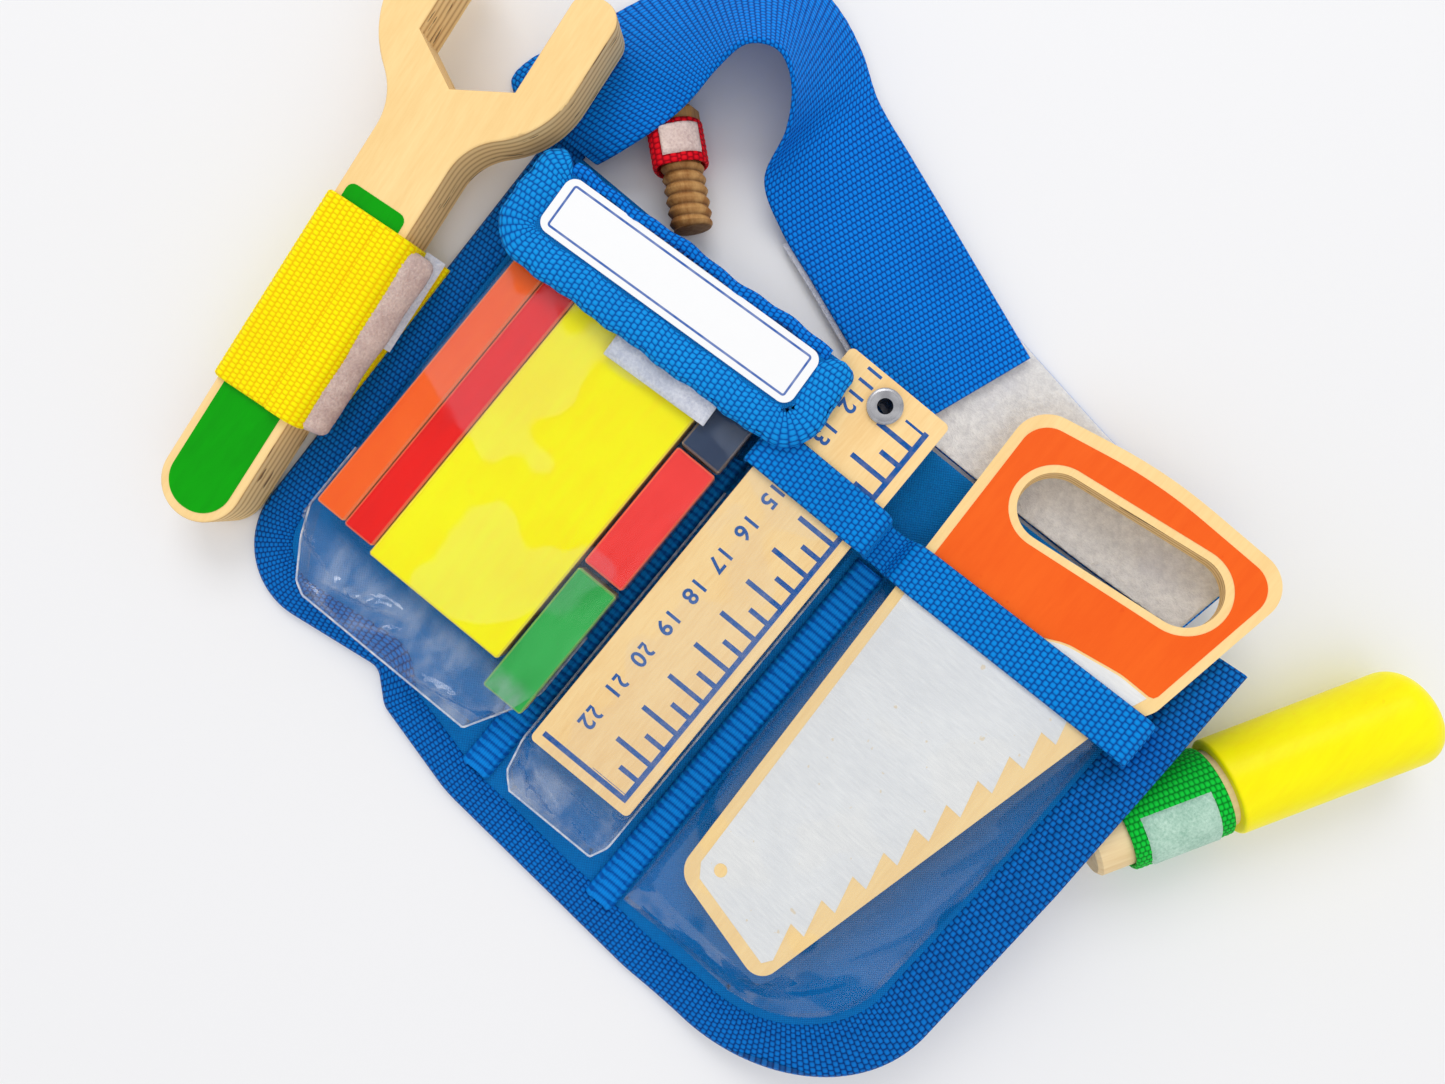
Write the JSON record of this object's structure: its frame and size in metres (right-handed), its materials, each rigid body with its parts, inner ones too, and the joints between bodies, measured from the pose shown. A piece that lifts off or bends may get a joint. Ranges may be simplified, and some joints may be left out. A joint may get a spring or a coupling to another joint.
{
  "type": "toy tool belt",
  "caption": "Toy tool belt: a nylon pouch with clear pockets, flap and webbing loops, holding wooden saw, ruler, wrench, screwdriver, bolt and blocks.",
  "frame": {"origin": "on the flat back of the pouch, near its middle, level with the surface that the belt lies on", "axes": "+X along the belt towards the screwdriver, +Y up the pouch towards the waist strap, +Z out of the pouch's front"},
  "size_m": [0.3137, 0.2255, 0.0303],
  "materials": {
    "nylon": "woven, matte",
    "blue_webbing": "woven webbing",
    "yellow_webbing": "woven webbing",
    "green_webbing": "woven webbing",
    "red_webbing": "woven webbing",
    "vinyl": "clear, glossy",
    "hook_tape": "moulded hook tape",
    "loop_tape": "brushed loop tape",
    "label": "smooth card",
    "birch": "sanded plywood",
    "pale_wood": "sanded, varnished",
    "brown_wood": "turned, stained",
    "steel": "polished",
    "paint_yellow": "satin paint on wood",
    "paint_orange": "painted wood",
    "paint_red": "painted wood",
    "paint_block_yellow": "painted wood",
    "paint_navy": "painted wood",
    "paint_pink_red": "painted wood",
    "paint_green": "painted wood"
  },
  "bodies": {
    "belt": {"pouch_panel": "nylon", "panel_binding": "blue_webbing", "divider_tape_left": "blue_webbing", "divider_tape_right": "blue_webbing", "block_pocket": "vinyl", "ruler_sleeve": "vinyl", "saw_pocket": "vinyl", "pocket_rim_band": "blue_webbing", "wrench_loop": "yellow_webbing", "wrench_hook_strip": "hook_tape", "screwdriver_loop": "green_webbing", "screwdriver_loop_patch": "hook_tape", "bolt_loop": "red_webbing", "bolt_loop_patch": "hook_tape", "pocket_loop_patch": "loop_tape", "waist_strap": "blue_webbing", "strap_hook_tape": "hook_tape", "strap_tail": "blue_webbing", "tail_loop_tape": "loop_tape"},
    "flap": {"flap_panel": "nylon", "flap_binding": "blue_webbing", "label_card": "label", "flap_top_tape": "blue_webbing", "flap_hook_patch": "hook_tape"},
    "saw": {"saw_board": "birch"},
    "ruler": {"ruler_lower_leaf": "birch", "ruler_upper_leaf": "birch", "ruler_eyelet": "steel"},
    "wrench": {"wrench_board": "birch"},
    "screwdriver": {"screwdriver_handle": "paint_yellow", "screwdriver_shaft": "pale_wood"},
    "bolt_body": {"bolt": "brown_wood"},
    "orange_block": {"block_orange": "paint_orange"},
    "red_block": {"block_red": "paint_red"},
    "yellow_block": {"block_yellow": "paint_block_yellow"},
    "navy_block": {"block_navy": "paint_navy"},
    "small_red_block": {"block_small_red": "paint_pink_red"},
    "green_block": {"block_green": "paint_green"}
  },
  "joints": [
    {"name": "flap_hinge", "type": "hinge", "parent": "belt", "child": "flap", "pos_m": [-0.04682, 0.04977, 0.0173], "axis": [-0.9981, -0.061, 0], "range_deg": [0, 135]},
    {"name": "saw_slide", "type": "slide", "parent": "belt", "child": "saw", "axis": [0, 1, 0], "range_m": [0, 0.16]},
    {"name": "ruler_slide", "type": "slide", "parent": "belt", "child": "ruler", "axis": [0, 0.9998, 0.0175], "range_m": [0, 0.125]},
    {"name": "wrench_slide", "type": "slide", "parent": "belt", "child": "wrench", "axis": [-0.0991, 0.9933, 0.0593], "range_m": [0, 0.1]},
    {"name": "screwdriver_slide", "type": "slide", "parent": "belt", "child": "screwdriver", "axis": [0.495, 0.8689, 0], "range_m": [0, 0.045]},
    {"name": "bolt_spin", "type": "hinge", "parent": "belt", "child": "bolt_body", "pos_m": [-0.0555, 0.0556, 0.0073], "axis": [-0.7581, 0.6521, 0], "continuous": true},
    {"name": "orange_block_slide", "type": "slide", "parent": "belt", "child": "orange_block", "axis": [0, 1, 0], "range_m": [-0.005, 0.008]},
    {"name": "red_block_slide", "type": "slide", "parent": "belt", "child": "red_block", "axis": [0, 1, 0], "range_m": [-0.005, 0.008]},
    {"name": "yellow_block_slide", "type": "slide", "parent": "belt", "child": "yellow_block", "axis": [0, 1, 0], "range_m": [-0.005, 0.01]},
    {"name": "navy_block_slide", "type": "slide", "parent": "belt", "child": "navy_block", "axis": [0, 1, 0], "range_m": [0, 0.01]},
    {"name": "small_red_block_slide", "type": "slide", "parent": "belt", "child": "small_red_block", "axis": [0, 1, 0], "range_m": [-0.0015, 0.0007]},
    {"name": "green_block_slide", "type": "slide", "parent": "belt", "child": "green_block", "axis": [0, 1, 0], "range_m": [-0.003, 0]}
  ]
}
